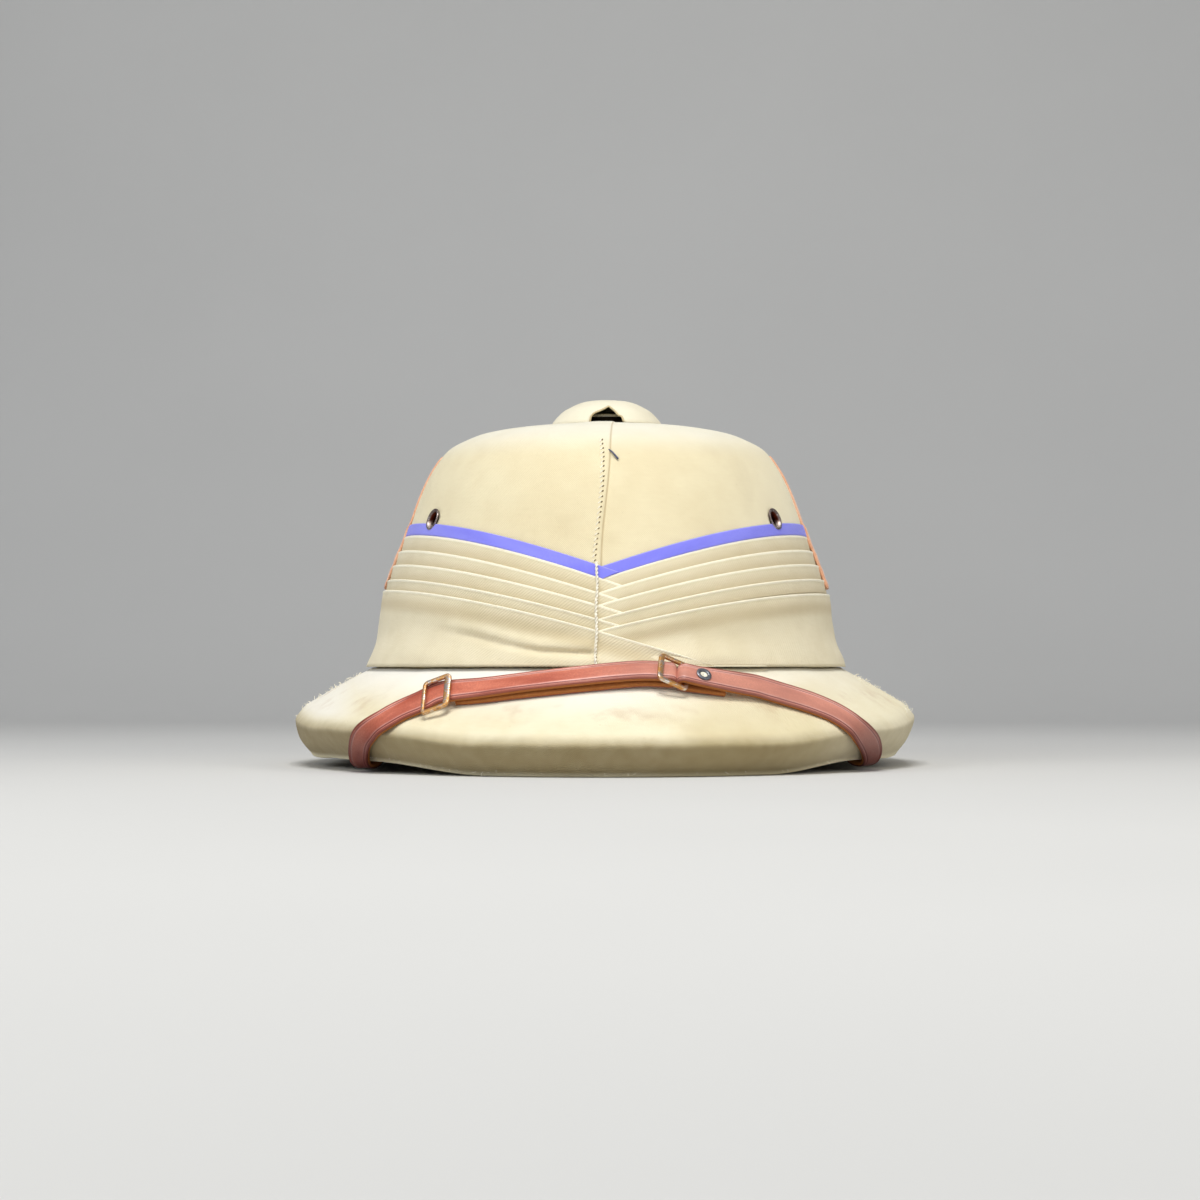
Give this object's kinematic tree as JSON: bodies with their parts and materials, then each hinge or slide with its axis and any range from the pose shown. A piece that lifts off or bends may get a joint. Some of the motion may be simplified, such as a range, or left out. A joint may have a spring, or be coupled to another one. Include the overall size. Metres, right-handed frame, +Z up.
{
  "type": "pith helmet",
  "caption": "Cloth-covered pith sun helmet with a hollow dome, sloping brim, folded wrap with violet tape, ventilator cap and a brown leather chin strap laid over the front of the brim",
  "frame": {"origin": "on the surface that the brim stands on, under the middle of the brim's oval", "axes": "+Z up through the crown, the front of the helmet faces -Y, +X to the right of someone who looks at the front"},
  "size_m": [0.277, 0.344, 0.1643],
  "materials": {
    "crown_cloth": "fine cream khaki cotton cloth",
    "brim_cloth": "cream khaki cotton twill with a worn, fuzzy nap",
    "puggaree_cloth": "khaki cotton twill with pressed folds",
    "ribbon_tape": "violet-blue woven tape with pale edges",
    "seam_cord": "cream twisted thread",
    "flash_cloth": "salmon-tan wool cloth",
    "eyelet_bronze": "dark bronze with a worn bright rim",
    "strap_leather": "glossy reddish brown leather with dark burnished edges",
    "buckle_brass": "worn brass, silvery where the plate is rubbed",
    "grommet_steel": "dull grey metal"
  },
  "bodies": {
    "root": {"crown": "crown_cloth", "brim": "brim_cloth", "puggaree": "puggaree_cloth", "ribbon": "ribbon_tape", "seam_cord": "seam_cord", "vent_cap": "crown_cloth", "vent_collar": "grommet_steel", "eyelet_left": "eyelet_bronze", "eyelet_right": "eyelet_bronze", "side_flash_left": "flash_cloth", "side_flash_right": "flash_cloth", "strap_left": "strap_leather", "strap_right": "strap_leather", "buckle_left": "buckle_brass", "buckle_right": "buckle_brass", "strap_grommet": "grommet_steel", "strap_stud_left": "buckle_brass", "strap_stud_right": "buckle_brass"}
  },
  "joints": []
}
